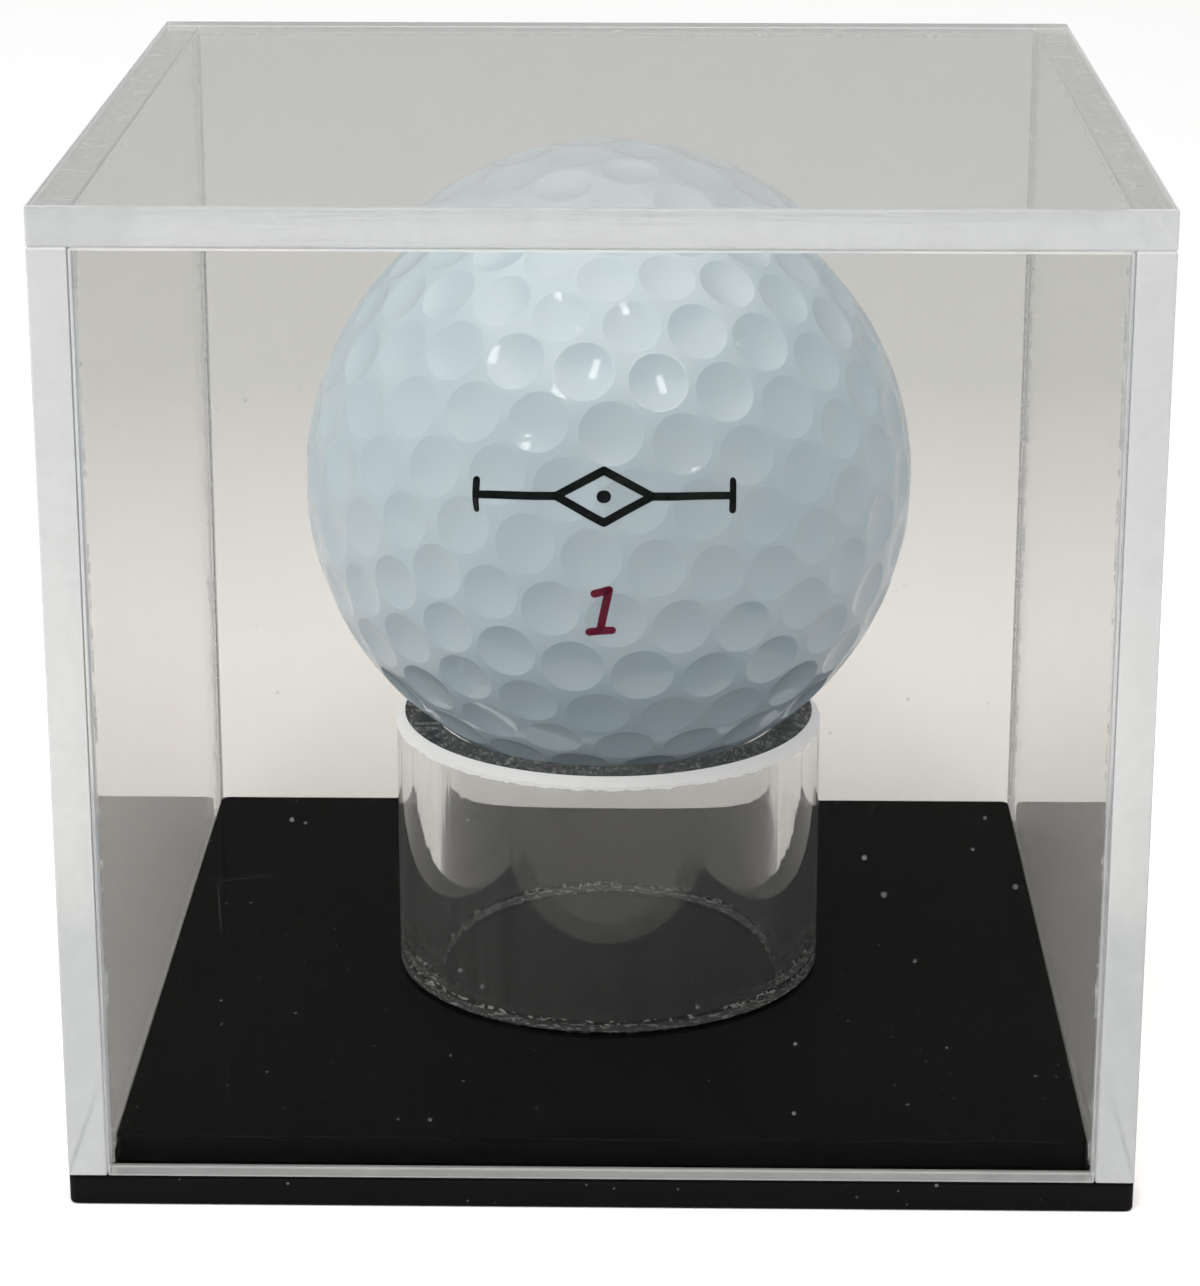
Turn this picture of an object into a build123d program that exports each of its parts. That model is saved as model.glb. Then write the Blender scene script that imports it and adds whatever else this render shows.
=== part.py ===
"""Display case for one golf ball: a clear solvent-bonded cover over a stepped black base, with a clear ring
riser that the ball sits on.

Millimetres. +Z is up, +X is to the right and the front faces -Y. The origin is the centre of the base's
underside.
"""

import os
from math import acos, radians, sin, sqrt

from build123d import *

# --- Driving dimensions -------------------------------------------------------------------------------
case_width = 69.85  # outside, left to right: 2 3/4 in
case_depth = 69.85  # outside, front to back
headroom = 2.34  # free space between the top of the ball and the top panel, for a case 2 5/8 in tall

panel_thickness = 2.6  # clear sheet of the cover
panel_edge_break = 0.2  # scraped bevel on the cover's outside edges

base_plate_thickness = 2.0  # black sheet that the cover stands on
base_corner_radius = 0.6
base_edge_break = 0.2
locating_plate_thickness = 2.0  # black sheet that the cover drops over
locating_corner_radius = 0.5
locating_edge_break = 0.15
cover_slip = 0.3  # gap all round between the locating plate and the cover's walls

riser_outer_diameter = 30.5  # clear tube
riser_wall = 3.0
riser_height = 19.05
riser_edge_break = 0.25  # bevel on the tube's rims
riser_top_bevel = 0.6  # wider sanded bevel round the outside of its top

ball_diameter = 42.67  # standard golf ball
ball_seat_gap = 0.05  # running gap between the ball and the tube's rim
ball_cover_wall = 1.6  # outer skin, measured between dimples
ball_mantle_wall = 1.4  # casing layer between the skin and the core

dimple_depth = 0.17  # below the ball's sphere
dimple_land = 0.22  # width of the ridge between the rims of two neighbouring dimples
dimple_steps = (5, 1)  # steps along and across the lattice from one five-sided centre to the next
dimple_tilt = 5.3  # degrees that the lattice leans forward from standing square on the frame's axes
dimple_size_step = 0.05  # dimple radii are rounded to this, as a set of mould punches is
dimple_overcut = 0.04  # how far a punch reaches past the rim that it cuts

# --- Sizes that follow --------------------------------------------------------------------------------
inside_width = case_width - 2 * panel_thickness
inside_depth = case_depth - 2 * panel_thickness

cover_bottom = base_plate_thickness
riser_bottom = base_plate_thickness + locating_plate_thickness
rim_height = riser_bottom + riser_height

riser_outer_radius = riser_outer_diameter / 2
riser_inner_radius = riser_outer_radius - riser_wall
seat_radius = riser_inner_radius + riser_edge_break

ball_radius = ball_diameter / 2
ball_centre = rim_height + sqrt((ball_radius + ball_seat_gap) ** 2 - seat_radius**2)
mantle_radius = ball_radius - ball_cover_wall
core_radius = mantle_radius - ball_mantle_wall

wall_top = ball_centre + ball_radius + headroom
wall_height = wall_top - cover_bottom

STAND_UP = (Align.CENTER, Align.CENTER, Align.MIN)


# --- Base ---------------------------------------------------------------------------------------------
def plate(width, depth, thickness, corner_radius, edge_break, bottom):
    """Flat sheet with rounded corners and bevelled rims, its underside at the height bottom."""
    sheet = Box(width, depth, thickness, align=STAND_UP)
    sheet = fillet(sheet.edges().filter_by(Axis.Z), corner_radius)
    rims = sheet.faces().sort_by(Axis.Z)
    sheet = chamfer(rims[0].edges() + rims[-1].edges(), edge_break)
    return Pos(0, 0, bottom) * sheet


def base_plate():
    return plate(
        case_width, case_depth, base_plate_thickness, base_corner_radius, base_edge_break, 0
    )


def locating_plate():
    return plate(
        inside_width - 2 * cover_slip,
        inside_depth - 2 * cover_slip,
        locating_plate_thickness,
        locating_corner_radius,
        locating_edge_break,
        base_plate_thickness,
    )


def riser_tube():
    """Short length of clear tube, stood on the locating plate. Its top is bevelled more widely outside."""
    outline = Polyline(
        (riser_inner_radius + riser_edge_break, 0),
        (riser_outer_radius - riser_edge_break, 0),
        (riser_outer_radius, riser_edge_break),
        (riser_outer_radius, riser_height - riser_top_bevel),
        (riser_outer_radius - riser_top_bevel, riser_height),
        (riser_inner_radius + riser_edge_break, riser_height),
        (riser_inner_radius, riser_height - riser_edge_break),
        (riser_inner_radius, riser_edge_break),
        close=True,
    )
    return Pos(0, 0, riser_bottom) * revolve(Plane.XZ * make_face(outline), Axis.Z)


# --- Cover --------------------------------------------------------------------------------------------
def at_far_side(edges, axis, side):
    """The edges that lie furthest out along axis, on its positive side (1) or its negative side (-1)."""
    groups = edges.group_by(axis)
    return groups[-1] if side > 0 else groups[0]


def top_panel():
    """Lies over all four walls. Its lower rim is left square, where it is bonded."""
    sheet = Box(case_width, case_depth, panel_thickness, align=STAND_UP)
    outside = sheet.edges().filter_by(Axis.Z) + sheet.faces().sort_by(Axis.Z)[-1].edges()
    return Pos(0, 0, wall_top) * chamfer(outside, panel_edge_break)


def side_panel(side):
    """Left (-1) or right (1) wall, over the whole depth, so that its front and back edges show."""
    sheet = Box(panel_thickness, case_depth, wall_height, align=STAND_UP)
    outside = at_far_side(sheet.edges().filter_by(Axis.Z), Axis.X, side)
    outside += at_far_side(sheet.faces().sort_by(Axis.Z)[0].edges().filter_by(Axis.Y), Axis.X, side)
    reach = (case_width - panel_thickness) / 2
    return Pos(side * reach, 0, cover_bottom) * chamfer(outside, panel_edge_break)


def end_panel(side):
    """Front (-1) or back (1) wall, bonded between the two side walls."""
    sheet = Box(inside_width, panel_thickness, wall_height, align=STAND_UP)
    outside = at_far_side(sheet.faces().sort_by(Axis.Z)[0].edges().filter_by(Axis.X), Axis.Y, side)
    reach = (case_depth - panel_thickness) / 2
    return Pos(0, side * reach, cover_bottom) * chamfer(outside, panel_edge_break)


# --- Ball ---------------------------------------------------------------------------------------------
def icosahedron():
    """The corners of an icosahedron on the unit sphere, and its faces, turned outwards."""
    golden = (1 + sqrt(5)) / 2
    corners = []
    for short in (-1, 1):
        for long in (-golden, golden):
            corners += [Vector(0, short, long), Vector(short, long, 0), Vector(long, 0, short)]
    corners = [corner.normalized() for corner in corners]
    edge = 1.01 * min((corners[0] - corner).length for corner in corners[1:])
    faces = []
    for i, a in enumerate(corners):
        for j, b in enumerate(corners[:i]):
            for c in corners[:j]:
                if max((a - b).length, (b - c).length, (c - a).length) < edge:
                    faces.append((a, b, c) if a.dot(b.cross(c)) > 0 else (a, c, b))
    return corners, faces


def dimple_directions():
    """Where the dimples are: a triangular lattice laid on each face of an icosahedron and drawn out evenly
    onto the sphere."""
    corners, faces = icosahedron()
    along, across = dimple_steps
    cells = along**2 + along * across + across**2
    edge_angle = acos(corners[0].dot(min(corners[1:], key=lambda corner: (corner - corners[0]).length)))
    directions = list(corners)
    for a, b, c in faces:
        for i in range(-across, along + 1):
            for j in range(along + across + 1):
                second = ((along + across) * i + across * j) / cells
                third = (along * j - across * i) / cells
                first = 1 - second - third
                if 0 < min(first, second, third) and max(first, second, third) < 1:
                    point = a * sin(first * edge_angle)
                    point += b * sin(second * edge_angle) + c * sin(third * edge_angle)
                    directions.append(point.normalized())
    return [direction.rotate(Axis.X, dimple_tilt) for direction in directions]


def dimple_punch(rim_radius):
    """Lens that cuts one dimple at the pole of a ball centred on the origin."""
    rim = sqrt(ball_radius**2 - rim_radius**2)
    floor = ball_radius - dimple_depth
    sag = rim - floor
    curve = (rim_radius**2 + sag**2) / (2 * sag)
    reach = rim_radius + dimple_overcut

    def bowl(x):
        return floor + curve - sqrt(curve**2 - x**2)

    arc = ThreePointArc((0, floor), (reach / 2, bowl(reach / 2)), (reach, bowl(reach)))
    top = ball_radius + dimple_depth
    lid = Polyline(arc @ 1, (0.8 * reach, top), (0, top), arc @ 0)
    return revolve(Plane.XZ * make_face(arc + lid), Axis.Z)


def ball_cover():
    """Dimpled outer skin. Each dimple is as wide as its nearest neighbour leaves room for. The blank lies on
    its side, which keeps its poles and its seam clear of the dimples' rims."""
    directions = dimple_directions()
    punches = {}
    cuts = []
    for direction in directions:
        nearest = min((direction - other).length for other in directions if other is not direction)
        room = (ball_radius * nearest - dimple_land) / 2
        rim_radius = int(room / dimple_size_step) * dimple_size_step
        if rim_radius not in punches:
            punches[rim_radius] = dimple_punch(rim_radius)
        cuts.append(Plane(origin=(0, 0, 0), z_dir=direction).location * punches[rim_radius])
    blank = Rot(X=90) * Sphere(ball_radius)
    return Pos(0, 0, ball_centre) * (blank.cut(*cuts) - Sphere(mantle_radius))


def ball_mantle():
    return Pos(0, 0, ball_centre) * (Sphere(mantle_radius) - Sphere(core_radius))


def ball_core():
    return Pos(0, 0, ball_centre) * Sphere(core_radius)


# --- All pieces ---------------------------------------------------------------------------------------
def pieces():
    return {
        "base_plate": base_plate(),
        "locating_plate": locating_plate(),
        "riser_tube": riser_tube(),
        "top_panel": top_panel(),
        "front_panel": end_panel(-1),
        "back_panel": end_panel(1),
        "left_panel": side_panel(-1),
        "right_panel": side_panel(1),
        "ball_cover": ball_cover(),
        "ball_mantle": ball_mantle(),
        "ball_core": ball_core(),
    }


def main():
    os.makedirs("parts", exist_ok=True)
    for name, solid in pieces().items():
        solid.label = name
        export_step(solid, f"parts/{name}.step")
    print(f"ball centre {ball_centre:.3f}, overall height {wall_top + panel_thickness:.3f}")


if __name__ == "__main__":
    main()
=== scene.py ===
"""Display case for one golf ball: a clear box cover over a stepped black base, a clear ring riser and the
ball.

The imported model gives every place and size. This script gives each piece its finished shape and its material,
and stands the case in a plain pale studio.
"""

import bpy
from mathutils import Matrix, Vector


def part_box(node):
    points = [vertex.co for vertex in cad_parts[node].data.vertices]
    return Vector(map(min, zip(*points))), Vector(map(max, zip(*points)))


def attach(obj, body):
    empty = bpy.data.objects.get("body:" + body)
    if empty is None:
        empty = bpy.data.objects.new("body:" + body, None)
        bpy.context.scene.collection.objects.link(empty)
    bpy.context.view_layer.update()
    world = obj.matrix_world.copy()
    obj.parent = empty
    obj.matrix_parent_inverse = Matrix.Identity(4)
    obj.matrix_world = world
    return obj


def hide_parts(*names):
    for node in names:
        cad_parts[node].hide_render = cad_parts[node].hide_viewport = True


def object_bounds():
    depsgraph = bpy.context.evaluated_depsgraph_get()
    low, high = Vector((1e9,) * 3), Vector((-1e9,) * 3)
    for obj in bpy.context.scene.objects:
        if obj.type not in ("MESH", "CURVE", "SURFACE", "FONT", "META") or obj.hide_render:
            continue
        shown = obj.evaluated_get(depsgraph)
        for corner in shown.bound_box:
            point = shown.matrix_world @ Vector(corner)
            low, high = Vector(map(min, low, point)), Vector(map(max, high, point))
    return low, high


bl_info = {
    "name": "Golf Ball Display Case",
    "version": (1, 0, 0),
    "blender": (4, 5, 0),
    "location": "View3D > Sidebar > Display Case",
    "description": "Builds a clear display case for one golf ball and the ball in it",
    "category": "Add Mesh",
}

from math import acos, cos, hypot, pi, radians, sin, sqrt

import bmesh
import bpy
from bpy.props import FloatProperty, FloatVectorProperty, IntProperty, PointerProperty
from bpy.types import Operator, Panel, PropertyGroup
from mathutils import Matrix, Vector, noise

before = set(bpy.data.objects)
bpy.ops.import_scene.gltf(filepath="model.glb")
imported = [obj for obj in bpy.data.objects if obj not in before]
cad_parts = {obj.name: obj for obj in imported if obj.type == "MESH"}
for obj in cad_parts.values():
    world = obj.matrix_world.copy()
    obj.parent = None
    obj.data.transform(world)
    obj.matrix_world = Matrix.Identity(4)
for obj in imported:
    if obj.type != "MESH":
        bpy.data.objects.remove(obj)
CAD_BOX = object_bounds()
MM = 0.001
ACRYLIC_INDEX = 1.49
WHITE = (1.0, 1.0, 1.0, 1.0)


# --- Settings -----------------------------------------------------------------------------------------
def length(name, description, millimetres):
    """A length property, given in millimetres and kept in metres."""
    return FloatProperty(
        name=name,
        description=description,
        default=millimetres * MM,
        min=0.0,
        precision=5,
        unit="LENGTH",
        subtype="DISTANCE",
    )


def share(name, description, default):
    return FloatProperty(
        name=name, description=description, default=default, min=0.0, max=1.0, subtype="FACTOR"
    )


def angle(name, description, degrees):
    """An angle property, given in degrees."""
    return FloatProperty(
        name=name, description=description, default=radians(degrees), unit="ROTATION", subtype="ANGLE"
    )


def colour(name, description, default):
    return FloatVectorProperty(
        name=name, description=description, default=default, size=3, min=0.0, max=1.0, subtype="COLOR"
    )


class CoverSettings(PropertyGroup):
    edge_round: length("Edge round", "Radius that the clear panels' edges are scraped to", 0.16)
    bond_gap: length("Bond gap", "Thickness of the solvent bond between two panels", 0.04)
    bead_radius: length("Bead radius", "Radius of the solvent squeezed out into the inner corners", 0.15)
    tint: colour("Tint", "Colour that light takes on through one face of a panel", (0.856, 0.853, 0.843))
    edge_tint: colour("Edge tint", "Colour that light takes on through a machined edge", (0.8, 0.785, 0.765))
    edge_haze: share("Edge haze", "Milkiness that the cutter leaves on the panels' edges", 0.42)
    edge_roughness: share("Edge roughness", "Roughness of the panels' machined edges", 0.16)
    dust_film: share("Dust film", "Share of the top's upper face under settled dust", 0.06)
    streaks: share("Streaks", "Share of the bonds that shows as white streaks", 0.7)


class BaseSettings(PropertyGroup):
    edge_round: length("Edge round", "Radius of the black sheets' polished edges", 0.2)
    corner_round: length("Corner round", "Radius of the black sheets' corners", 0.6)
    black: colour("Black", "Colour of the black acrylic", (0.0035, 0.0033, 0.0032))
    polish: share("Polish", "Strength of the black face's reflections", 0.15)
    roughness: share("Roughness", "Roughness of the polished black face", 0.03)
    dust: share("Dust", "Share of the black faces under dust specks", 0.03)


class RiserSettings(PropertyGroup):
    saw_marks: length("Saw marks", "Height of the chatter left round the tube's cut edges", 0.07)
    segments: IntProperty(
        name="Segments", description="Flats round the tube", default=288, min=48, max=512
    )
    tint: colour("Tint", "Colour that light takes on through one face of the tube", (0.95, 0.95, 0.95))
    haze: share("Haze", "Milkiness of the tube's extruded wall", 0.045)
    shade: share("Shade", "Share of the light that passes through one face of the tube", 0.72)
    # The glow is painted light: an emission on the sanded top and the frosted band that stands for light piped
    # through the wall.
    glow: share("Glow", "Light piped through the tube's wall to its sanded top", 0.3)
    frost_height: length("Frost height", "How far the sanding runs down the outside of the tube", 0.85)
    frost_ragged: length("Frost border", "How ragged the sanding's lower border is", 0.5)
    cut_bevel: length("Cut bevel", "Height of the sanded bevel round the tube's top", 0.6)


class BallSettings(PropertyGroup):
    land: length("Land", "Width of the ridge between two neighbouring dimples", 0.22)
    depth: length("Dimple depth", "Depth of a dimple below the ball's sphere", 0.32)
    lip: length("Lip", "Width over which a dimple's rim is rounded", 0.06)
    tilt: angle("Tilt", "Lean of the dimple lattice towards the front", 5.3)
    segments: IntProperty(
        name="Segments", description="Flats round a dimple's rim", default=32, min=12, max=48
    )
    white: colour("White", "Colour of the ball's paint", (0.69, 0.8, 0.87))
    ink_black: colour("Mark", "Ink of the alignment mark", (0.006, 0.007, 0.008))
    ink_red: colour("Numeral", "Ink of the play numeral", (0.2, 0.005, 0.035))
    film: length("Ink thickness", "How far the ink stands off the paint", 0.012)
    pen: length("Pen", "Width of the marks' strokes", 0.56)
    mark_width: length("Mark width", "Length of the alignment mark", 19.0)
    mark_lift: angle("Mark lift", "How far up the ball's front the alignment mark is", 11.8)
    numeral_height: length("Numeral height", "Height of the play numeral", 3.7)
    numeral_lift: angle("Numeral lift", "How far up the ball's front the numeral is", -9.3)


class StudioSettings(PropertyGroup):
    # The floor's near colour is painted light that lifts the case's shadow; its far colour is painted shade,
    # darker as if less lit.
    floor: colour("Floor", "Colour of the floor round the case", (0.98, 0.955, 0.945))
    far_floor_shade: colour("Backdrop", "Colour of the floor well away from the case", (0.74, 0.74, 0.733))
    bounce: share("Bounce", "Share of the floor's light that it throws back onto the case", 0.78)
    cool: colour("Bounce colour", "Tint of the light that the floor throws back", (0.86, 0.94, 1.0))
    sweep: length("Sweep radius", "Distance from the case to where the floor curves up", 900.0)
    overhead: FloatProperty(
        name="Overhead light", description="Brightness of the sky overhead", default=2.55, min=0.0
    )
    surround: FloatProperty(
        name="Surround", description="Brightness of the pale surround near the horizon", default=0.47, min=0.0
    )
    focal: FloatProperty(
        name="Focal length", description="Camera lens", default=108.5, unit="CAMERA", min=1.0
    )


SETTINGS = {
    "case_cover": CoverSettings,
    "case_base": BaseSettings,
    "case_riser": RiserSettings,
    "case_ball": BallSettings,
    "case_studio": StudioSettings,
}


# --- Pieces from bmesh --------------------------------------------------------------------------------
def add_block(bm, low, high):
    """Adds a box between two corners."""
    made = bmesh.ops.create_cube(bm, size=1.0)["verts"]
    bmesh.ops.scale(bm, vec=high - low, verts=made)
    bmesh.ops.translate(bm, vec=(low + high) / 2, verts=made)


def finish_piece(bm, name, body, finishes, nodes=(), crease=None):
    """Turns a bmesh into a piece on a body. Faces are flat, or smooth up to the crease angle."""
    if crease is not None:
        for face in bm.faces:
            face.smooth = True
        for edge in bm.edges:
            edge.smooth = len(edge.link_faces) == 2 and edge.calc_face_angle() < crease
    mesh = bpy.data.meshes.new(name)
    bm.to_mesh(mesh)
    bm.free()
    for finish in finishes:
        mesh.materials.append(finish)
    piece = bpy.data.objects.new(name, mesh)
    bpy.context.scene.collection.objects.link(piece)
    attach(piece, body)
    if nodes:
        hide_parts(*nodes)
    return piece


# --- Materials ----------------------------------------------------------------------------------------
class Finish:
    """A material built a node at a time. Patterns are in object coordinates, in metres."""

    def __init__(self, name):
        self.material = bpy.data.materials.new(name)
        self.material.use_nodes = True
        self.tree = self.material.node_tree
        self.tree.nodes.clear()
        self.place = self.node("TexCoord").outputs["Object"]

    def node(self, kind, inputs=None, **settings):
        """Adds a node, sets it up and feeds its inputs with numbers or with other nodes' sockets."""
        made = self.tree.nodes.new("ShaderNode" + kind)
        for key, value in settings.items():
            setattr(made, key, value)
        for key, value in (inputs or {}).items():
            if isinstance(value, bpy.types.NodeSocket):
                self.tree.links.new(value, made.inputs[key])
            else:
                made.inputs[key].default_value = value
        return made

    def done(self, shader):
        output = self.node("OutputMaterial")
        self.tree.links.new(shader, output.inputs["Surface"])
        return self.material

    def maths(self, operation, first, second=0.0):
        return self.node("Math", {0: first, 1: second}, operation=operation).outputs[0]

    def squared(self, value):
        return self.maths("MULTIPLY", value, value)

    def stretched(self, scale):
        """The place on the piece, stretched by a scale for each axis."""
        return self.node("Mapping", {"Vector": self.place, "Scale": scale}).outputs[0]

    def noise(self, scale, detail=2.0, distortion=0.0, place=None):
        inputs = {"Vector": place or self.place, "Scale": scale, "Detail": detail, "Distortion": distortion}
        return self.node("TexNoise", inputs).outputs["Fac"]

    def step(self, value, low, high, to_low=0.0, to_high=1.0):
        """Ramps value from its range low to high onto the range to_low to to_high."""
        inputs = {"Value": value, "From Min": low, "From Max": high, "To Min": to_low, "To Max": to_high}
        return self.node("MapRange", inputs).outputs["Result"]

    def specks(self, size, amount):
        """1 on scattered round specks, 0 elsewhere. size is the cell that a speck lies in."""
        cells = self.node("TexVoronoi", {"Vector": self.place, "Scale": 1.0 / size})
        parted = self.node("SeparateColor", {"Color": cells.outputs["Color"]})
        radius = self.step(parted.outputs["Red"], 1.0 - amount, 1.0, 0.0, 0.32)
        return self.step(self.maths("SUBTRACT", radius, cells.outputs["Distance"]), 0.0, 0.08)

    def scratches(self, size, width, amount):
        """1 along fine curved scratches, 0 elsewhere."""
        inputs = {"Vector": self.place, "Scale": 1.0 / size}
        cells = self.node("TexVoronoi", inputs, feature="DISTANCE_TO_EDGE").outputs["Distance"]
        line = self.step(cells, 0.0, width, 1.0, 0.0)
        return self.maths("MULTIPLY", line, self.step(self.noise(0.7 / size), 1.0 - amount, 1.08 - amount))

    def bump(self, height, distance, strength=1.0):
        inputs = {"Height": height, "Distance": distance, "Strength": strength}
        return self.node("Bump", inputs).outputs["Normal"]

    def mix(self, factor, first, second):
        return self.node("MixShader", {0: factor, 1: first, 2: second}).outputs[0]

    def clear(self, tint, held_back, roughness=0.0, normal=None, haze=0.0, milk=0.9, glow=0.0, shade=None):
        """Clear acrylic that bends what is behind it and lets lamps through. held_back is taken off the
        mirror share, which quietens reflections seen straight on and leaves the grazing ones. The haze is
        matt and as light as milk, and glow is painted light: an emission on the haze that stands for light
        piped to it through the acrylic. shade is the share of the light that passes through a face to light
        what is behind it, instead of tint."""
        shape = {"Normal": normal} if normal is not None else {}
        fresnel = self.node("Fresnel", {"IOR": ACRYLIC_INDEX, **shape}).outputs[0]
        mirrored = self.step(fresnel, held_back, 1.0)
        bent = self.node(
            "BsdfRefraction",
            {"Color": (*tint, 1.0), "IOR": ACRYLIC_INDEX, "Roughness": roughness, **shape},
        )
        mirror = self.node("BsdfAnisotropic", {"Color": WHITE, "Roughness": roughness, **shape})
        body = self.mix(mirrored, bent.outputs[0], mirror.outputs[0])
        cloud = self.node(
            "BsdfPrincipled",
            {
                "Base Color": (milk, milk, milk, 1.0),
                "Roughness": 0.9,
                "Specular IOR Level": 0.0,
                "Emission Color": WHITE,
                "Emission Strength": glow,
            },
        )
        body = self.mix(haze, body, cloud.outputs[0])
        path = self.node("LightPath").outputs
        straight = self.maths("MAXIMUM", path["Is Shadow Ray"], path["Is Diffuse Ray"])
        passed = tint if shade is None else (shade, shade, shade)
        through = self.node("BsdfTransparent", {"Color": (*passed, 1.0)})
        return self.mix(straight, body, through.outputs[0])


def clear_sheet(cover):
    """Polished sheet with a few hairline scratches and the faint waviness of cast acrylic."""
    finish = Finish("clear_sheet")
    scratch = finish.scratches(11 * MM, 0.0035, 0.35)
    wave = finish.noise(60.0, detail=1.0)
    relief = finish.maths("ADD", finish.maths("MULTIPLY", scratch, -0.02), wave)
    normal = finish.bump(relief, 0.006 * MM)
    dust = finish.maths("MULTIPLY", finish.specks(0.7 * MM, 0.012), 0.16)
    height = finish.node("SeparateXYZ", {"Vector": finish.place}).outputs["Z"]
    settled = finish.maths("GREATER_THAN", height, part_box("top_panel")[1].z - cover.bond_gap)
    film = finish.maths("MULTIPLY", settled, cover.dust_film)
    haze = finish.maths("ADD", film, finish.maths("MAXIMUM", dust, finish.maths("MULTIPLY", scratch, 0.12)))
    return finish.done(finish.clear(cover.tint, 0.0383, 0.0, normal, haze))


def sheet_edge(cover):
    """Machined edge: fine cutter lines along the sheet and cloudy patches."""
    finish = Finish("sheet_edge")
    lines = finish.noise(260.0, detail=3.0, place=finish.stretched((1.0, 1.0, 14.0)))
    clouds = finish.noise(320.0, detail=4.0, distortion=0.6)
    normal = finish.bump(finish.maths("ADD", lines, clouds), 0.016 * MM)
    haze = finish.step(clouds, 0.35, 0.75, cover.edge_haze - 0.03, cover.edge_haze + 0.03)
    return finish.done(finish.clear(cover.edge_tint, 0.02, cover.edge_roughness, normal, haze, 0.8))


def bond_line(cover):
    """Dried solvent: clear where it wetted the sheets, with white streaks and bubbles where it didn't."""
    finish = Finish("bond_line")
    streak = finish.noise(420.0, detail=6.0, distortion=1.6)
    bubbles = finish.specks(0.9 * MM, 0.3)
    white = finish.maths("MAXIMUM", finish.step(streak, 0.62 - 0.2 * cover.streaks, 0.72), bubbles)
    clear = finish.node("BsdfTransparent", {"Color": WHITE}).outputs[0]
    milk = finish.node("BsdfDiffuse", {"Color": (0.88, 0.88, 0.87, 1.0)}).outputs[0]
    glow = finish.node("BsdfTranslucent", {"Color": (0.88, 0.88, 0.87, 1.0)}).outputs[0]
    return finish.done(finish.mix(finish.maths("MULTIPLY", white, 0.85), clear, finish.mix(0.5, milk, glow)))


def black_sheet(base):
    """Polished black acrylic with a little fine dust."""
    finish = Finish("black_sheet")
    fine, coarse = finish.specks(0.3 * MM, base.dust), finish.specks(0.5 * MM, 0.2 * base.dust)
    dust = finish.maths("MAXIMUM", fine, coarse)
    shades = {0: dust, 6: (*base.black, 1.0), 7: (0.13, 0.12, 0.12, 1.0)}
    colour = finish.node("Mix", shades, data_type="RGBA")
    skin = finish.node(
        "BsdfPrincipled",
        {
            "Base Color": colour.outputs[2],
            "Roughness": 0.5,
            "Specular IOR Level": 0.0,
            "Coat Weight": base.polish,
            "Coat Roughness": base.roughness,
        },
    )
    return finish.done(skin.outputs[0])


def clear_tube(riser):
    """Extruded tube: faint lines along its length and a light haze."""
    finish = Finish("clear_tube")
    drawn = finish.noise(900.0, detail=3.0, place=finish.stretched((1.0, 1.0, 0.02)))
    normal = finish.bump(drawn, 0.012 * MM)
    streaks = finish.step(drawn, 0.3, 0.7, 0.6 * riser.haze, 1.2 * riser.haze)
    place = finish.node("SeparateXYZ", {"Vector": finish.place}).outputs
    ragged = finish.maths("MULTIPLY", finish.noise(1300.0, detail=4.0), riser.frost_ragged)
    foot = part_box("riser_tube")[1].z - riser.frost_height - riser.frost_ragged / 2
    frost = finish.step(finish.maths("SUBTRACT", place["Z"], ragged), foot - 0.02 * MM, foot + 0.02 * MM)
    inner, outer = wall_radii()
    reach = finish.maths("SQRT", finish.maths("ADD", finish.squared(place["X"]), finish.squared(place["Y"])))
    frost = finish.maths("MULTIPLY", frost, finish.maths("GREATER_THAN", reach, (inner + outer) / 2))
    haze = finish.maths("MAXIMUM", streaks, finish.maths("MULTIPLY", frost, 0.85))
    # Painted light: the frosted band glows by emission, standing for light piped up the tube's wall.
    glow = finish.maths("MULTIPLY", frost, riser.glow)
    return finish.done(finish.clear(riser.tint, 0.0, 0.01, normal, haze, 0.9, glow, riser.shade))


def sanded_rim(riser):
    """Sanded bevel round the top of the tube: white and matt, with painted light, an emission glow that stands
    for light piped up the wall.
    """
    finish = Finish("sanded_rim")
    grit = finish.noise(2600.0, detail=3.0)
    normal = finish.bump(grit, 0.06 * MM)
    return finish.done(finish.clear(riser.tint, 0.0, 0.42, normal, 0.92, 0.95, riser.glow))


def cut_end(riser):
    """Saw-cut end of the tube, scored across its wall."""
    finish = Finish("cut_end")
    grit = finish.noise(1900.0, detail=5.0, distortion=1.0)
    normal = finish.bump(grit, 0.003 * MM)
    dust = finish.maths("MULTIPLY", finish.specks(0.5 * MM, 0.16), 0.4)
    return finish.done(finish.clear(riser.tint, 0.02, 0.0, normal, dust, 0.4))


def foot_cement(riser):
    """Cement round the tube's foot: near black, with broken white bits left by the saw."""
    finish = Finish("foot_cement")
    chips = finish.step(finish.noise(1700.0, detail=4.0, distortion=1.0), 0.55, 0.6)
    shades = {0: chips, 6: (0.008, 0.008, 0.008, 1.0), 7: (0.42, 0.42, 0.41, 1.0)}
    colour = finish.node("Mix", shades, data_type="RGBA")
    skin = finish.node(
        "BsdfPrincipled", {"Base Color": colour.outputs[2], "Roughness": 0.35, "Specular IOR Level": 0.2}
    )
    return finish.done(skin.outputs[0])


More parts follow.
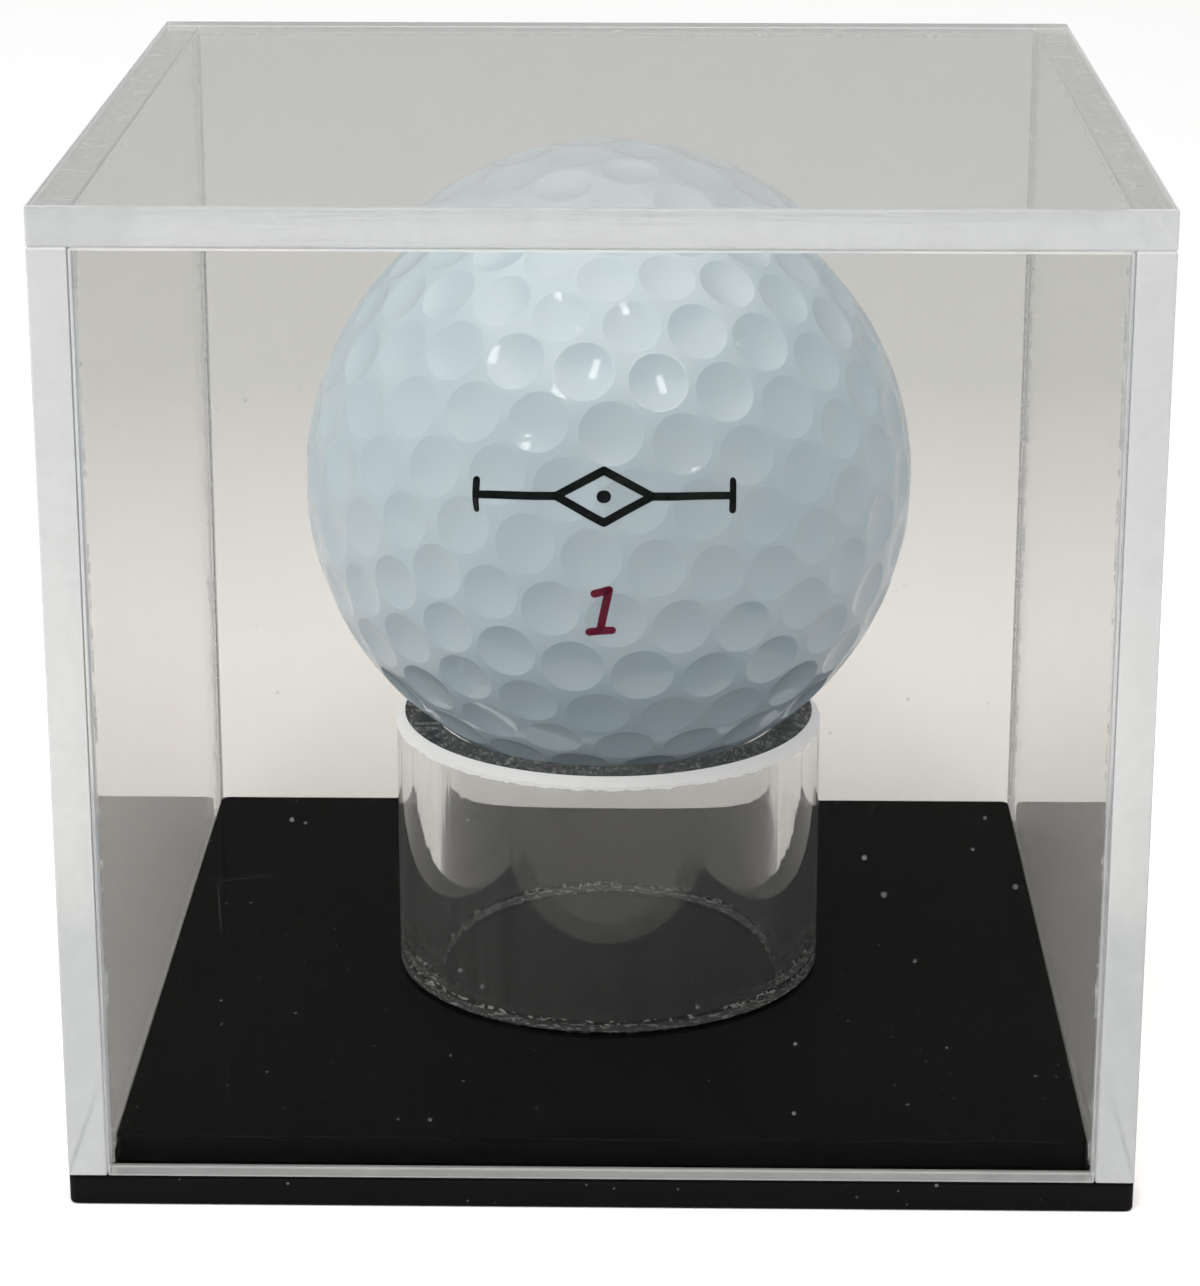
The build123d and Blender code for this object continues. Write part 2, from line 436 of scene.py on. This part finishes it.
def ball_paint(ball):
    """Glossy painted skin under a clear coat, with slight mottling."""
    finish = Finish("ball_paint")
    mottle = finish.noise(160.0, detail=3.0)
    white = (*ball.white, 1.0)
    cool = (ball.white[0] * 0.94, ball.white[1] * 0.965, ball.white[2] * 0.985, 1.0)
    colour = finish.node("Mix", {0: finish.step(mottle, 0.35, 0.65), 6: white, 7: cool}, data_type="RGBA")
    orange_peel = finish.noise(1500.0, detail=2.0)
    skin = finish.node(
        "BsdfPrincipled",
        {
            "Base Color": colour.outputs[2],
            "Roughness": finish.step(mottle, 0.3, 0.7, 0.34, 0.42),
            "Coat Weight": 0.85,
            "Coat Roughness": 0.04,
            "Coat IOR": 1.5,
            "Normal": finish.bump(orange_peel, 0.004 * MM),
        },
    )
    return finish.done(skin.outputs[0])


def ball_ink(name, ink):
    """Pad-printed ink, a little thin in places."""
    finish = Finish(name)
    thin = finish.step(finish.noise(1100.0, detail=3.0), 0.6, 0.8)
    faded = tuple(0.85 * part + 0.015 for part in ink)
    colour = finish.node("Mix", {0: thin, 6: (*ink, 1.0), 7: (*faded, 1.0)}, data_type="RGBA")
    skin = finish.node(
        "BsdfPrincipled",
        {
            "Base Color": colour.outputs[2],
            "Roughness": finish.step(thin, 0.0, 1.0, 0.3, 0.4),
            "Specular IOR Level": 0.15,
            "Coat Weight": 0.15,
            "Coat Roughness": 0.05,
        },
    )
    return finish.done(skin.outputs[0])


def moulded(name, low, high, roughness):
    """Moulded layer inside the ball: two shades of one compound, with flow marks."""
    finish = Finish(name)
    flow = finish.noise(220.0, detail=5.0, distortion=1.5)
    colour = finish.node("Mix", {0: finish.step(flow, 0.3, 0.7), 6: low, 7: high}, data_type="RGBA")
    skin = finish.node(
        "BsdfPrincipled",
        {
            "Base Color": colour.outputs[2],
            "Roughness": roughness,
            "Normal": finish.bump(flow, 0.03 * MM),
        },
    )
    return finish.done(skin.outputs[0])


# --- Cover --------------------------------------------------------------------------------------------
PANELS = ("top_panel", "front_panel", "back_panel", "left_panel", "right_panel")


def make_panel(name, cover, finishes):
    """One clear panel. Its two wide faces are polished and its narrow ones machined."""
    low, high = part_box(name)
    bond = Vector((1, 1, 1)) * cover.bond_gap / 2
    thin = min(range(3), key=lambda axis: high[axis] - low[axis])
    bm = bmesh.new()
    add_block(bm, low + bond, high - bond)
    bmesh.ops.bevel(
        bm,
        geom=bm.edges[:],
        offset=cover.edge_round,
        segments=3,
        profile=0.5,
        affect="EDGES",
        material=-1,
    )
    for face in bm.faces:
        face.normal_update()
        face.material_index = 0 if abs(face.normal[thin]) > 0.99 else 1
    return finish_piece(bm, name + "_clear", "cover", finishes, [name])


class CASE_OT_cover(Operator):
    """Makes the five clear panels of the cover"""

    bl_idname = "display_case.cover"
    bl_label = "Cover panels"

    def execute(self, context):
        cover = context.scene.case_cover
        finishes = [clear_sheet(cover), sheet_edge(cover)]
        for name in PANELS:
            make_panel(name, cover, finishes)
        return {"FINISHED"}


def bonds():
    """The (low, high) corners of the faces where two panels of the cover meet, as boxes with no thickness."""
    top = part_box("top_panel")
    for name in PANELS[1:]:
        low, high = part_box(name)
        yield Vector((low.x, low.y, high.z)), Vector((high.x, high.y, top[0].z))
    for end in ("front_panel", "back_panel"):
        low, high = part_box(end)
        for x in (low.x, high.x):
            yield Vector((x, low.y, low.z)), Vector((x, high.y, high.z))


def add_bead(bm, start, end, radius, seed):
    """Draws an irregular bead of squeezed-out solvent along a straight corner."""
    steps = int((end - start).length / (0.8 * MM))
    stride = (end - start) / steps
    place = Matrix.Translation(start) @ stride.to_track_quat("Z", "Y").to_matrix().to_4x4()
    ring = bmesh.ops.create_circle(bm, cap_ends=True, segments=6, radius=radius, matrix=place)["verts"]
    tip = ring[0].link_faces[0]
    swell = 1.0
    for step in range(steps):
        drawn = bmesh.ops.extrude_face_region(bm, geom=[tip])["geom"]
        tip = next(part for part in drawn if isinstance(part, bmesh.types.BMFace))
        bmesh.ops.translate(bm, vec=stride, verts=tip.verts)
        wanted = min(1.0, 0.45 + 0.9 * abs(noise.noise(Vector((0.31 * step, seed, 0.0)))))
        middle = Matrix.Translation(-tip.calc_center_median())
        bmesh.ops.scale(bm, vec=Vector((1, 1, 1)) * wanted / swell, space=middle, verts=tip.verts)
        swell = wanted


class CASE_OT_bonds(Operator):
    """Makes the solvent bonds between the cover's panels, and the beads squeezed out inside them"""

    bl_idname = "display_case.bonds"
    bl_label = "Bonds"

    def execute(self, context):
        cover = context.scene.case_cover
        finish = bond_line(cover)
        margin = 2 * cover.edge_round
        bm = bmesh.new()
        for low, high in bonds():
            thin = min(range(3), key=lambda axis: high[axis] - low[axis])
            inset = Vector((margin, margin, margin))
            inset[thin] = -cover.bond_gap / 10
            add_block(bm, low + inset, high - inset)
        bmesh.ops.recalc_face_normals(bm, faces=bm.faces[:])
        finish_piece(bm, "cover_bonds", "cover", [finish])

        low = Vector((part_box("left_panel")[1].x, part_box("front_panel")[1].y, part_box("front_panel")[0].z))
        high = Vector((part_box("right_panel")[0].x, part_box("back_panel")[0].y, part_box("top_panel")[0].z))
        inset = Vector((1, 1, 1)) * (cover.bead_radius + cover.bond_gap)
        low, high = low + inset, high - inset
        corners = [(low.x, low.y), (high.x, low.y), (high.x, high.y), (low.x, high.y)]
        bm = bmesh.new()
        for index, (x, y) in enumerate(corners):
            start, end = Vector((x, y, high.z)), Vector((*corners[(index + 1) % 4], high.z))
            trim = (end - start).normalized() * 2 * inset.x
            add_bead(bm, start + trim, end - trim, cover.bead_radius, 3.7 * index)
            down = Vector((0, 0, -2 * inset.z))
            add_bead(bm, start + down, Vector((x, y, low.z)), cover.bead_radius, 3.7 * index + 1.9)
        bmesh.ops.recalc_face_normals(bm, faces=bm.faces[:])
        finish_piece(bm, "solvent_bead", "cover", [finish], crease=radians(80))
        return {"FINISHED"}


# --- Base ---------------------------------------------------------------------------------------------
def make_black_sheet(name, base, finish):
    """Flat black sheet with round corners and polished, rounded rims."""
    low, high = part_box(name)
    bm = bmesh.new()
    add_block(bm, low, high)
    upright = [e for e in bm.edges if abs(e.verts[0].co.z - e.verts[1].co.z) > 0.5 * (high.z - low.z)]
    bmesh.ops.bevel(
        bm, geom=upright, offset=base.corner_round, segments=6, profile=0.5, affect="EDGES", material=-1
    )
    rims = [e for e in bm.edges if abs(e.verts[0].co.z - e.verts[1].co.z) < 0.1 * (high.z - low.z)]
    bmesh.ops.bevel(
        bm, geom=rims, offset=base.edge_round, segments=4, profile=0.5, affect="EDGES", material=-1
    )
    return finish_piece(bm, name + "_black", "base", [finish], [name])


class CASE_OT_base(Operator):
    """Makes the black base plate and the locating plate on it"""

    bl_idname = "display_case.base"
    bl_label = "Black base"

    def execute(self, context):
        base = context.scene.case_base
        finish = black_sheet(base)
        for name in ("base_plate", "locating_plate"):
            make_black_sheet(name, base, finish)
        return {"FINISHED"}


# --- Riser --------------------------------------------------------------------------------------------
WALL, SANDED, CUT, FOOT = range(4)  # the riser's finishes
FOOT_REACH = 0.3 * MM  # how far up its foot the tube shows saw marks
COARSE_CHATTER, FINE_CHATTER = 1500.0, 5200.0  # how closely the saw marks lie, per metre


def tube_rings():
    """The (radius, height) of each ring of corners of the riser's CAD node."""
    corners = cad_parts["riser_tube"].data.vertices
    return {(round(hypot(v.co.x, v.co.y), 5), round(v.co.z, 5)) for v in corners}


def wall_radii():
    """Radius of the riser's bore and of its outside."""
    radii = [radius for radius, _ in tube_rings()]
    return min(radii), max(radii)


def tube_profile():
    """Corners of the riser's wall as (radius, 0, height): up the outside, over the rim and down the bore."""
    middle = sum(wall_radii()) / 2
    outside = sorted((z, r) for r, z in tube_rings() if r > middle)
    inside = sorted(((z, r) for r, z in tube_rings() if r < middle), reverse=True)
    return [Vector((r, 0.0, z)) for z, r in outside + inside]


class CASE_OT_riser(Operator):
    """Turns the clear ring riser and roughens its cut edges"""

    bl_idname = "display_case.riser"
    bl_label = "Ring riser"

    def execute(self, context):
        riser = context.scene.case_riser
        bond = context.scene.case_cover.bond_gap
        low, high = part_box("riser_tube")
        bm = bmesh.new()
        corners = [bm.verts.new(corner) for corner in tube_profile()]
        outline = [bm.edges.new((corners[i - 1], corners[i])) for i in range(len(corners))]
        bmesh.ops.spin(
            bm,
            geom=corners + outline,
            cent=(0.0, 0.0, 0.0),
            axis=(0.0, 0.0, 1.0),
            angle=2 * pi,
            steps=riser.segments,
            use_merge=True,
        )
        bmesh.ops.remove_doubles(bm, verts=bm.verts[:], dist=0.001 * MM)
        bmesh.ops.recalc_face_normals(bm, faces=bm.faces[:])
        bm.normal_update()
        for face in bm.faces:
            slope, outward = face.normal.z, face.normal.xy.dot(face.calc_center_median().xy) > 0
            if abs(slope) < 0.1:
                face.material_index = WALL
            elif slope < 0:
                face.material_index = FOOT
            else:
                face.material_index = SANDED if slope < 0.95 and outward else CUT
        for vert in bm.verts:
            height = vert.co.z - low.z
            near_foot = height < FOOT_REACH
            under_bevel = abs(vert.co.z - high.z + riser.cut_bevel) < 0.05 * MM
            if near_foot or under_bevel:
                coarse, fine = noise.noise(vert.co * COARSE_CHATTER), noise.noise(vert.co * FINE_CHATTER)
                vert.co.z += riser.saw_marks * (coarse + 0.5 * fine) * (0.6 if near_foot else 1.0)
            vert.co.z = max(vert.co.z, low.z + bond)
        finishes = [clear_tube(riser), sanded_rim(riser), cut_end(riser), foot_cement(riser)]
        finish_piece(bm, "riser_tube_clear", "base", finishes, ["riser_tube"], radians(25))
        return {"FINISHED"}


# --- Ball ---------------------------------------------------------------------------------------------
LATTICE_ALONG, LATTICE_ACROSS = 5, 1  # steps from one five-sided centre of the lattice to the next
RIM_STEP = 0.05 * MM  # rim radii are rounded to this
RIM_BLEND = 0.35  # how softly a bowl runs into the land, as a share of the lip


def icosahedron():
    """The corners of an icosahedron on the unit sphere, and its faces, turned outwards."""
    golden = (1 + sqrt(5)) / 2
    corners = []
    for short in (-1, 1):
        for long in (-golden, golden):
            corners += [Vector((0, short, long)), Vector((short, long, 0)), Vector((long, 0, short))]
    corners = [corner.normalized() for corner in corners]
    edge = 1.01 * min((corners[0] - corner).length for corner in corners[1:])
    faces = []
    for i, a in enumerate(corners):
        for j, b in enumerate(corners[:i]):
            for c in corners[:j]:
                if max((a - b).length, (b - c).length, (c - a).length) < edge:
                    faces.append((a, b, c) if a.dot(b.cross(c)) > 0 else (a, c, b))
    return corners, faces


def dimple_directions(tilt):
    """Where the dimples are: a triangular lattice on each face of an icosahedron, drawn out onto the
    sphere."""
    corners, faces = icosahedron()
    along, across = LATTICE_ALONG, LATTICE_ACROSS
    cells = along**2 + along * across + across**2
    edge_angle = acos(max(corners[0].dot(corner) for corner in corners[1:]))
    directions = list(corners)
    for a, b, c in faces:
        for i in range(-across, along + 1):
            for j in range(along + across + 1):
                second = ((along + across) * i + across * j) / cells
                third = (along * j - across * i) / cells
                first = 1 - second - third
                if 0 < min(first, second, third) and max(first, second, third) < 1:
                    point = a * sin(first * edge_angle) + b * sin(second * edge_angle)
                    directions.append((point + c * sin(third * edge_angle)).normalized())
    lean = Matrix.Rotation(tilt, 3, "X")
    return [lean @ direction for direction in directions]


def bowl_rings(radius, rim, ball):
    """(inset, rise) of each ring of a dimple, from just outside its rim to near its middle."""
    flat = sqrt(radius**2 - rim**2)
    sag = flat - (radius - ball.depth)
    curve = (rim**2 + sag**2) / (2 * sag)
    reaches = [rim + ball.lip, rim + 0.25 * ball.lip, rim - 0.6 * ball.lip, rim - 2.5 * ball.lip]
    reaches += [rim * part for part in (0.78, 0.56, 0.34, 0.14)]

    def height(reach):
        """The lower of the land and the bowl, blended smoothly where they meet."""
        land = sqrt(radius**2 - reach**2)
        if reach >= rim + ball.lip:
            return land
        bowl = radius - ball.depth + curve - sqrt(max(curve**2 - reach**2, 0.0))
        blend = RIM_BLEND * ball.lip * sag / rim
        return (land + bowl) / 2 - sqrt(((land - bowl) / 2) ** 2 + blend**2)

    heights = [height(reach) for reach in reaches]
    return [
        (reaches[i] - reaches[i + 1], heights[i + 1] - heights[i]) for i in range(len(reaches) - 1)
    ]


def dimpled_ball(radius, ball):
    """A bmesh of the dimpled ball about the origin. The dimples' rims are strung on the sphere, a convex hull
    fills the land between them, and each rim is then inset ring by ring into a bowl."""
    directions = dimple_directions(ball.tilt)
    bm = bmesh.new()
    owner = bm.verts.layers.int.new("dimple")
    rims = []
    for index, direction in enumerate(directions, 1):
        nearest = min((direction - other).length for other in directions if other is not direction)
        rim = int((radius * nearest - ball.land) / 2 / RIM_STEP) * RIM_STEP
        reach = rim + ball.lip
        lift = Matrix.Translation((0.0, 0.0, sqrt(radius**2 - reach**2)))
        turn = direction.to_track_quat("Z", "Y").to_matrix().to_4x4()
        ring = bmesh.ops.create_circle(bm, segments=ball.segments, radius=reach, matrix=turn @ lift)
        for vert in ring["verts"]:
            vert[owner] = index
        rims.append(rim)
    bmesh.ops.delete(bm, geom=bm.edges[:], context="EDGES_FACES")
    bmesh.ops.convex_hull(bm, input=bm.verts[:])
    lids = [f for f in bm.faces if len({v[owner] for v in f.verts}) == 1]
    bmesh.ops.dissolve_faces(bm, faces=lids)
    bmesh.ops.recalc_face_normals(bm, faces=bm.faces[:])
    lids = [f for f in bm.faces if len(f.verts) > 4 and len({v[owner] for v in f.verts}) == 1]
    if len(lids) != len(directions):
        raise RuntimeError(f"the hull left {len(lids)} dimples open, of {len(directions)}")
    groups = {}
    for lid in lids:
        groups.setdefault(round(rims[lid.verts[0][owner] - 1] / RIM_STEP), []).append(lid)
    for steps, group in groups.items():
        for inset, rise in bowl_rings(radius, steps * RIM_STEP, ball):
            bmesh.ops.inset_individual(bm, faces=group, thickness=inset, depth=rise, use_even_offset=True)
        bmesh.ops.poke(bm, faces=group)
    return bm


class CASE_OT_ball(Operator):
    """Makes the ball's dimpled skin, and finishes the layers inside it"""

    bl_idname = "display_case.ball"
    bl_label = "Golf ball"

    def execute(self, context):
        ball = context.scene.case_ball
        centre, radius = ball_place()
        bm = dimpled_ball(radius, ball)
        bmesh.ops.translate(bm, vec=centre, verts=bm.verts[:])
        finish_piece(bm, "ball_skin", "ball", [ball_paint(ball)], ["ball_cover"], pi)
        inner = {
            "ball_mantle": moulded("ball_casing", (0.7, 0.72, 0.64, 1.0), (0.78, 0.8, 0.73, 1.0), 0.5),
            "ball_core": moulded("ball_rubber", (0.16, 0.38, 0.47, 1.0), (0.24, 0.46, 0.54, 1.0), 0.7),
        }
        for node, finish in inner.items():
            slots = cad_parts[node].material_slots
            if not slots:
                raise RuntimeError(f"{node} has no material slot")
            for slot in slots:
                slot.material = finish
        return {"FINISHED"}


def ball_place():
    """The ball's centre and radius."""
    low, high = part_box("ball_core")
    skin_low, skin_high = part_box("ball_cover")
    return (low + high) / 2, max(skin_high - skin_low) / 2


def cut_film(skin, outline, tilt, film):
    """A bmesh of the part of the ball's skin inside a convex outline. The outline is in metres across and up
    a plane that touches the ball tilt radians above the level, and is drawn in to the ball's centre."""
    centre, radius = ball_place()
    facing = Vector((0.0, -cos(tilt), sin(tilt)))
    up = Vector((0.0, sin(tilt), cos(tilt)))
    across = Vector((1.0, 0.0, 0.0))
    bm = skin.copy()
    rays = [facing * radius + across * x + up * y for x, y in outline]
    planes = [rays[i].cross(rays[(i + 1) % len(rays)]).normalized() for i in range(len(rays))]
    middle = sum(rays, Vector())
    for plane in planes:
        outward = -plane if plane.dot(middle) > 0 else plane
        bmesh.ops.bisect_plane(
            bm,
            geom=bm.verts[:] + bm.edges[:] + bm.faces[:],
            dist=1e-8,
            plane_co=centre,
            plane_no=outward,
            clear_outer=True,
        )
    for vert in bm.verts:
        vert.co += vert.normal * film
    return bm


def capsule(x1, y1, x2, y2, width, points=10):
    """Outline of a straight stroke with round ends."""
    start, end = Vector((x1, y1)), Vector((x2, y2))
    along = (end - start).normalized()
    side = Vector((-along.y, along.x))
    outline = []
    for tip, way in ((end, 1), (start, -1)):
        for i in range(points + 1):
            turn = pi * i / points
            outline.append(tip + way * (along * sin(turn) - side * cos(turn)) * width / 2)
    return [tuple(point) for point in outline]


def print_mark(name, outlines, tilt, ball, finish):
    """One printed mark on the ball, made of several convex strokes."""
    centre, radius = ball_place()
    skin = bmesh.new()
    skin.from_mesh(bpy.data.objects["ball_skin"].data)
    facing = Vector((0.0, -cos(tilt), sin(tilt)))
    patch = 0.55 * radius
    behind = [v for v in skin.verts if (v.co - centre - facing * radius).length > patch]
    bmesh.ops.delete(skin, geom=behind, context="VERTS")
    whole = bpy.data.meshes.new(name)
    merged = bmesh.new()
    for outline in outlines:
        stroke = cut_film(skin, outline, tilt, ball.film)
        stroke.to_mesh(whole)
        stroke.free()
        merged.from_mesh(whole)
    skin.free()
    bpy.data.meshes.remove(whole)
    return finish_piece(merged, name, "ball", [finish], crease=pi)


class CASE_OT_marks(Operator):
    """Prints a plain alignment mark and a play numeral on the ball"""

    bl_idname = "display_case.marks"
    bl_label = "Ball marks"

    def execute(self, context):
        ball = context.scene.case_ball
        end, pen = (ball.mark_width - ball.pen) / 2, ball.pen
        hub, rise = 0.17 * ball.mark_width, 0.09 * ball.mark_width
        strokes = []
        for side in (-1, 1):
            strokes.append(capsule(side * hub, 0.0, side * end, 0.0, pen))
            strokes.append(capsule(side * end, -0.6 * rise, side * end, 0.6 * rise, pen))
            strokes.append(capsule(side * hub, 0.0, 0.0, rise, pen))
            strokes.append(capsule(side * hub, 0.0, 0.0, -rise, pen))
        strokes.append(capsule(-0.1 * pen, 0.0, 0.1 * pen, 0.0, 1.5 * pen))
        ink = ball_ink("mark_ink", ball.ink_black)
        print_mark("alignment_mark", strokes, ball.mark_lift, ball, ink)

        top = (ball.numeral_height - pen) / 2
        foot, head = Vector((-0.16 * top, -top)), Vector((0.22 * top, top))
        one = [capsule(*foot, *head, pen), capsule(*head, head.x - 0.6 * top, head.y - 0.18 * top, pen)]
        one.append(capsule(foot.x - 0.45 * top, foot.y, foot.x + 0.5 * top, foot.y, pen))
        ink = ball_ink("numeral_ink", ball.ink_red)
        print_mark("play_numeral", one, ball.numeral_lift, ball, ink)
        return {"FINISHED"}


# --- Stage --------------------------------------------------------------------------------------------
CAMERA_PLACE = Vector((4.0, -265.0, 114.7)) * MM
CAMERA_YAW, CAMERA_PITCH = radians(-1.0), radians(18.2)

# Softboxes: places and sizes in metres, powers in watts
FRONT_PLACE, FRONT_SIZE, FRONT_POWER = Vector((0.13, -0.3, 0.42)), (0.05, 0.13), 0.3
KEY_PLACE, KEY_SIZE, KEY_POWER = Vector((-0.55, -0.12, 0.2)), (0.3, 0.4), 1.7

FLOOR_GAP = 0.02 * MM  # the floor lies this far under the base
SWEEP_RISE = 0.22  # radius of the curve where the floor rises into a low wall, as a share of the floor's radius
FADE_FROM, FADE_TO = 90 * MM, 190 * MM  # distances over which the floor's painted light near the case gives way to painted shade further off


def world_light(studio):
    """Sky that is bright overhead, dim at middling heights and pale near the horizon."""
    world = bpy.data.worlds.new("studio_sky")
    bpy.context.scene.world = world
    world.use_nodes = True
    tree = world.node_tree
    tree.nodes.clear()
    place = tree.nodes.new("ShaderNodeTexCoord")
    parted = tree.nodes.new("ShaderNodeSeparateXYZ")
    ramp = tree.nodes.new("ShaderNodeValToRGB")
    light = tree.nodes.new("ShaderNodeBackground")
    output = tree.nodes.new("ShaderNodeOutputWorld")
    ramp.color_ramp.interpolation = "EASE"
    # Brightness against how high a direction points, from 0 on the horizon to 1 overhead
    stops = {0.0: studio.surround, 0.4: studio.surround, 0.48: 0.1, 0.64: 0.14, 0.86: studio.overhead}
    elements = ramp.color_ramp.elements
    elements.remove(elements[1])
    for height, level in stops.items():
        element = elements[0] if height == 0.0 else elements.new(height)
        element.color = (level, level, level, 1.0)
    tree.links.new(place.outputs["Generated"], parted.inputs[0])
    tree.links.new(parted.outputs["Z"], ramp.inputs[0])
    tree.links.new(ramp.outputs[0], light.inputs["Color"])
    tree.links.new(light.outputs[0], output.inputs["Surface"])


def make_sweep(studio):
    """Round floor that curves up into a low wall all round. Its colour is painted light near the case, lifting
    the case's own shadow, and painted shade further off, darker as if less lit.
    """
    wall = SWEEP_RISE * studio.sweep
    bm = bmesh.new()
    path = [Vector((0.0, 0.0, 0.0)), Vector((studio.sweep, 0.0, 0.0))]
    path += [
        Vector((studio.sweep + wall * sin(turn), 0.0, wall * (1 - cos(turn))))
        for turn in (radians(10 * step) for step in range(1, 10))
    ]
    points = [bm.verts.new(point) for point in path]
    edges = [bm.edges.new(pair) for pair in zip(points, points[1:])]
    bmesh.ops.spin(
        bm,
        geom=points + edges,
        cent=(0.0, 0.0, 0.0),
        axis=(0.0, 0.0, 1.0),
        angle=2 * pi,
        steps=96,
        use_merge=True,
    )
    bmesh.ops.remove_doubles(bm, verts=bm.verts[:], dist=0.01 * MM)
    bmesh.ops.translate(bm, vec=(0.0, 0.0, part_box("base_plate")[0].z - FLOOR_GAP), verts=bm.verts[:])
    bmesh.ops.recalc_face_normals(bm, faces=bm.faces[:])
    for face in bm.faces:
        face.smooth = True
    mesh = bpy.data.meshes.new("studio_floor")
    bm.to_mesh(mesh)
    bm.free()
    finish = Finish("studio_paper")
    # Painted light and shade: the floor is lighter near the case, lifting the case's shadow, and darker further
    # off, as if less lit.
    reach = finish.node("VectorMath", {0: finish.place}, operation="LENGTH").outputs["Value"]
    painted_falloff = finish.step(reach, FADE_FROM, FADE_TO)
    shades = {0: painted_falloff, 6: (*studio.floor, 1.0), 7: (*studio.far_floor_shade, 1.0)}
    shade = finish.node("Mix", shades, data_type="RGBA").outputs[2]
    paper = finish.node("BsdfDiffuse", {"Color": shade, "Roughness": 0.6}).outputs[0]
    dim = tuple(studio.bounce * part * tint for part, tint in zip(studio.floor, studio.cool))
    quiet = finish.node("BsdfDiffuse", {"Color": (*dim, 1.0), "Roughness": 0.6}).outputs[0]
    bounced = finish.node("LightPath").outputs["Is Diffuse Ray"]
    mesh.materials.append(finish.done(finish.mix(bounced, paper, quiet)))
    floor = bpy.data.objects.new("studio_floor", mesh)
    bpy.context.scene.collection.objects.link(floor)


def add_softbox(name, place, aim, width, height, power):
    """Rectangular soft light at place, aimed at a point."""
    lamp = bpy.data.lights.new(name, "AREA")
    lamp.shape = "RECTANGLE"
    lamp.size, lamp.size_y = width, height
    lamp.energy = power
    holder = bpy.data.objects.new(name, lamp)
    holder.location = place
    holder.rotation_euler = (aim - place).to_track_quat("-Z", "Y").to_euler()
    bpy.context.scene.collection.objects.link(holder)
    return holder


class CASE_OT_stage(Operator):
    """Sets up the pale floor, the soft light and the camera"""

    bl_idname = "display_case.stage"
    bl_label = "Studio"

    def execute(self, context):
        studio = context.scene.case_studio
        make_sweep(studio)
        world_light(studio)
        middle = (CAD_BOX[0] + CAD_BOX[1]) / 2
        for side in (-1, 1):
            place = Vector((side * FRONT_PLACE.x, FRONT_PLACE.y, FRONT_PLACE.z))
            add_softbox("softbox_front", place, middle, *FRONT_SIZE, FRONT_POWER)
        key = add_softbox("softbox_left", KEY_PLACE, middle, *KEY_SIZE, KEY_POWER)
        key.visible_camera = key.visible_glossy = key.visible_transmission = False

        lens = bpy.data.cameras.new("camera")
        lens.lens = studio.focal
        lens.clip_start, lens.clip_end = 0.01, 20.0
        camera = bpy.data.objects.new("camera", lens)
        camera.location = CAMERA_PLACE
        camera.rotation_euler = (pi / 2 - CAMERA_PITCH, 0.0, -CAMERA_YAW)
        context.scene.collection.objects.link(camera)
        context.scene.camera = camera

        context.scene.view_settings.view_transform = "Standard"
        cycles = context.scene.cycles
        cycles.max_bounces = 16
        cycles.transmission_bounces = 16
        cycles.glossy_bounces = 6
        cycles.transparent_max_bounces = 20
        return {"FINISHED"}


# --- Add-on -------------------------------------------------------------------------------------------
class CASE_PT_tools(Panel):
    """Lists the steps that build the display case"""

    bl_label = "Display Case"
    bl_space_type = "VIEW_3D"
    bl_region_type = "UI"
    bl_category = "Display Case"

    def draw(self, context):
        for step in STEPS:
            self.layout.operator(step.bl_idname)


STEPS = (
    CASE_OT_stage,
    CASE_OT_cover,
    CASE_OT_bonds,
    CASE_OT_base,
    CASE_OT_riser,
    CASE_OT_ball,
    CASE_OT_marks,
)


def register():
    for name, group in SETTINGS.items():
        bpy.utils.register_class(group)
        setattr(bpy.types.Scene, name, PointerProperty(type=group))
    for made in (*STEPS, CASE_PT_tools):
        bpy.utils.register_class(made)


def unregister():
    for made in reversed((*STEPS, CASE_PT_tools)):
        bpy.utils.unregister_class(made)
    for name, group in SETTINGS.items():
        delattr(bpy.types.Scene, name)
        bpy.utils.unregister_class(group)


def main():
    register()
    bpy.ops.display_case.stage()
    bpy.ops.display_case.cover()
    bpy.ops.display_case.bonds()
    bpy.ops.display_case.base()
    bpy.ops.display_case.riser()
    bpy.ops.display_case.ball()
    bpy.ops.display_case.marks()


if __name__ == "__main__":
    main()
